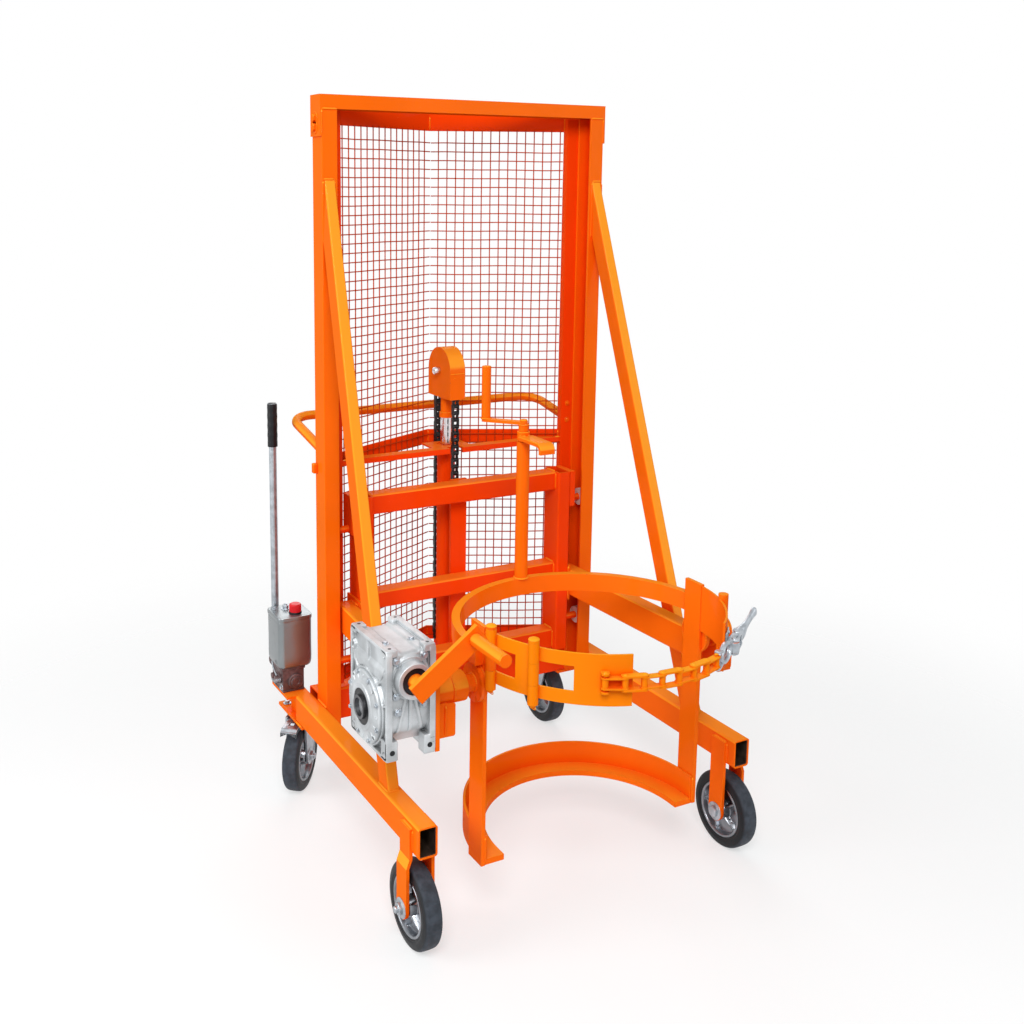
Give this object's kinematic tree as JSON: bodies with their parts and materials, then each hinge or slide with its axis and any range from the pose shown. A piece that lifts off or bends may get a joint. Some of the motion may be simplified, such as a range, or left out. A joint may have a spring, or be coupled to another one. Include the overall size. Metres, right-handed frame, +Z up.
{
  "type": "drum trolley",
  "caption": "Wheeled drum lifter: a chain-lifted carriage on a channel mast holds a crank-tilted drum cradle with clamp bands, behind it a mesh guard, a push handle and a hand pump.",
  "frame": {"origin": "the middle of the trolley's bounding box, on the floor", "axes": "+Z up the mast, +X to the right seen from the drum's side, +Y from the drum towards the operator's handle"},
  "size_m": [1.105, 1.281, 1.942],
  "materials": {
    "orange_paint": "gloss orange paint with worn edges",
    "zinc": "bright zinc plate",
    "cast_aluminium": "cast, matt silver paint",
    "hub_aluminium": "cast and turned",
    "black_rubber": "matt rubber",
    "chrome_rod": "polished chrome",
    "dark_steel": "oiled dark steel",
    "pump_iron": "dark red-brown paint",
    "tank_paint": "grey paint",
    "red_plastic": "gloss",
    "pale_nylon": "matt",
    "worm_bronze": "machined"
  },
  "bodies": {
    "chassis": {"left_leg": "orange_paint", "right_leg": "orange_paint", "left_upright": "orange_paint", "right_upright": "orange_paint", "top_beam": "orange_paint", "left_brace": "orange_paint", "right_brace": "orange_paint", "lower_crossbeam": "orange_paint", "cylinder_crossmember": "orange_paint", "guard_frame": "orange_paint", "left_guard_mesh": "orange_paint", "right_guard_mesh": "orange_paint", "push_handle": "orange_paint", "lift_cylinder": "orange_paint", "pump_tank": "tank_paint", "pump_block": "pump_iron", "filler_cap": "red_plastic", "frame_fasteners": "zinc", "lift_chain": "dark_steel"},
    "ram": {"ram_rod": "chrome_rod", "sheave_head": "orange_paint"},
    "sheave": {"chain_sheave": "dark_steel"},
    "carriage": {"carriage_frame": "orange_paint", "chain_bar": "orange_paint", "left_arm": "orange_paint", "right_arm": "orange_paint", "gearbox_housing": "cast_aluminium", "gearbox_cover": "cast_aluminium"},
    "upper_roller_pair": {"upper_rollers": "pale_nylon"},
    "lower_roller_pair": {"lower_rollers": "pale_nylon"},
    "crank": {"worm_shaft": "zinc", "crank_arm": "orange_paint"},
    "grip": {"crank_grip": "zinc"},
    "cradle": {"worm_wheel": "worm_bronze", "tilt_shaft": "zinc", "left_holder_post": "orange_paint", "right_holder_post": "orange_paint", "upper_ring": "orange_paint", "lower_ring": "orange_paint", "rim_post": "orange_paint"},
    "inner_clamp": {"inner_band": "orange_paint"},
    "outer_clamp": {"outer_band": "orange_paint"},
    "chain_clamp": {"clamp_chain": "zinc"},
    "latch": {"latch_lever": "zinc"},
    "hook": {"latch_hook": "zinc"},
    "rim_grab": {"rim_hook": "orange_paint"},
    "rim_turn": {"rim_crank": "orange_paint"},
    "pump_arm": {"pump_lever": "zinc"},
    "left_caster": {"left_caster_fork": "zinc"},
    "left_pedal": {"left_brake_pedal": "zinc"},
    "rear_left_wheel": {"rear_left_hub": "hub_aluminium", "rear_left_tyre": "black_rubber"},
    "front_left_wheel": {"front_left_hub": "hub_aluminium", "front_left_tyre": "black_rubber"},
    "right_caster": {"right_caster_fork": "zinc"},
    "right_pedal": {"right_brake_pedal": "zinc"},
    "rear_right_wheel": {"rear_right_hub": "hub_aluminium", "rear_right_tyre": "black_rubber"},
    "front_right_wheel": {"front_right_hub": "hub_aluminium", "front_right_tyre": "black_rubber"}
  },
  "joints": [
    {"name": "lift", "type": "slide", "parent": "chassis", "child": "carriage", "axis": [0, 0, 1], "range_m": [-0.15, 0.95], "deforming": ["lift_chain"]},
    {"name": "ram_slide", "type": "slide", "parent": "chassis", "child": "ram", "axis": [0, 0, 1], "range_m": [-0.08, 0.48]},
    {"name": "sheave_spin", "type": "hinge", "parent": "ram", "child": "sheave", "pos_m": [0.0515, 0.4355, 1.196], "axis": [-1, 0, 0], "range_deg": [-82, 506]},
    {"name": "upper_roll", "type": "hinge", "parent": "carriage", "child": "upper_roller_pair", "pos_m": [0.0515, 0.338, 0.799], "axis": [1, 0, 0], "range_deg": [-344, 2162]},
    {"name": "lower_roll", "type": "hinge", "parent": "carriage", "child": "lower_roller_pair", "pos_m": [0.0515, 0.338, 0.429], "axis": [-1, 0, 0], "range_deg": [-344, 2162]},
    {"name": "tilt", "type": "hinge", "parent": "carriage", "child": "cradle", "pos_m": [0.0515, -0.3095, 0.614], "axis": [1, 0, 0], "range_deg": [0, 150]},
    {"name": "crank_turn", "type": "hinge", "parent": "carriage", "child": "crank", "pos_m": [-0.476, -0.4605, 0.704], "axis": [0, 1, 0], "range_deg": [0, 4500]},
    {"name": "grip_spin", "type": "hinge", "parent": "crank", "child": "grip", "pos_m": [-0.35869, -0.473, 0.78923], "axis": [0, 1, 0], "continuous": true},
    {"name": "inner_band_swing", "type": "hinge", "parent": "cradle", "child": "inner_clamp", "pos_m": [-0.26066, -0.37018, 0.69], "axis": [0, 0, -1], "range_deg": [0, 40]},
    {"name": "outer_band_swing", "type": "hinge", "parent": "inner_clamp", "child": "outer_clamp", "pos_m": [-0.21818, -0.47802, 0.69], "axis": [0, 0, -1], "range_deg": [0, 75]},
    {"name": "clamp_chain_swing", "type": "hinge", "parent": "outer_clamp", "child": "chain_clamp", "pos_m": [-0.1095, -0.58836, 0.69], "axis": [0, 0, -1], "range_deg": [0, 30]},
    {"name": "latch_swing", "type": "hinge", "parent": "cradle", "child": "latch", "pos_m": [0.268, -0.55855, 0.69], "axis": [0, 0, -1], "range_deg": [0, 130]},
    {"name": "hook_swing", "type": "hinge", "parent": "latch", "child": "hook", "pos_m": [0.29441, -0.53559, 0.69], "axis": [0, 0, -1], "range_deg": [-130, 0]},
    {"name": "rim_hook_rise", "type": "slide", "parent": "cradle", "child": "rim_grab", "axis": [0, 0, 1], "range_m": [0, 0.03]},
    {"name": "rim_screw_turn", "type": "hinge", "parent": "rim_grab", "child": "rim_turn", "pos_m": [0.0515, 0.01394, 1.0985], "axis": [0, 0, 1], "range_deg": [0, 2160]},
    {"name": "pump_stroke", "type": "hinge", "parent": "chassis", "child": "pump_arm", "pos_m": [-0.4295, 0.5625, 0.369], "axis": [-1, 0, 0], "range_deg": [0, 65]},
    {"name": "left_swivel", "type": "hinge", "parent": "chassis", "child": "left_caster", "pos_m": [-0.3685, 0.5105, 0.2315], "axis": [0, 0, 1], "continuous": true},
    {"name": "rear_left_roll", "type": "hinge", "parent": "left_caster", "child": "rear_left_wheel", "pos_m": [-0.38778, 0.48752, 0.1], "axis": [-0.766, 0.6428, 0], "continuous": true},
    {"name": "left_brake", "type": "hinge", "parent": "left_caster", "child": "left_pedal", "pos_m": [-0.4045, 0.4676, 0.2135], "axis": [0.766, -0.6428, 0], "range_deg": [0, 15]},
    {"name": "front_left_roll", "type": "hinge", "parent": "chassis", "child": "front_left_wheel", "pos_m": [-0.4055, -0.2935, 0.1], "axis": [1, 0, 0], "continuous": true},
    {"name": "right_swivel", "type": "hinge", "parent": "chassis", "child": "right_caster", "pos_m": [0.4715, 0.5105, 0.2315], "axis": [0, 0, 1], "continuous": true},
    {"name": "rear_right_roll", "type": "hinge", "parent": "right_caster", "child": "rear_right_wheel", "pos_m": [0.4715, 0.5405, 0.1], "axis": [1, 0, 0], "continuous": true},
    {"name": "right_brake", "type": "hinge", "parent": "right_caster", "child": "right_pedal", "pos_m": [0.4715, 0.5665, 0.2135], "axis": [-1, 0, 0], "range_deg": [0, 15]},
    {"name": "front_right_roll", "type": "hinge", "parent": "chassis", "child": "front_right_wheel", "pos_m": [0.5085, -0.2935, 0.1], "axis": [1, 0, 0], "continuous": true}
  ],
  "couplings": [
    {"joint": "ram_slide", "follows": "lift", "ratio": 0.5},
    {"joint": "sheave_spin", "follows": "lift", "rad_per_m": 9.2593},
    {"joint": "upper_roll", "follows": "lift", "rad_per_m": 39.683},
    {"joint": "lower_roll", "follows": "lift", "rad_per_m": 39.683},
    {"joint": "crank_turn", "follows": "tilt", "ratio": 30},
    {"joint": "hook_swing", "follows": "latch_swing", "ratio": -1},
    {"joint": "rim_screw_turn", "follows": "rim_hook_rise", "rad_per_m": 1256.6}
  ]
}
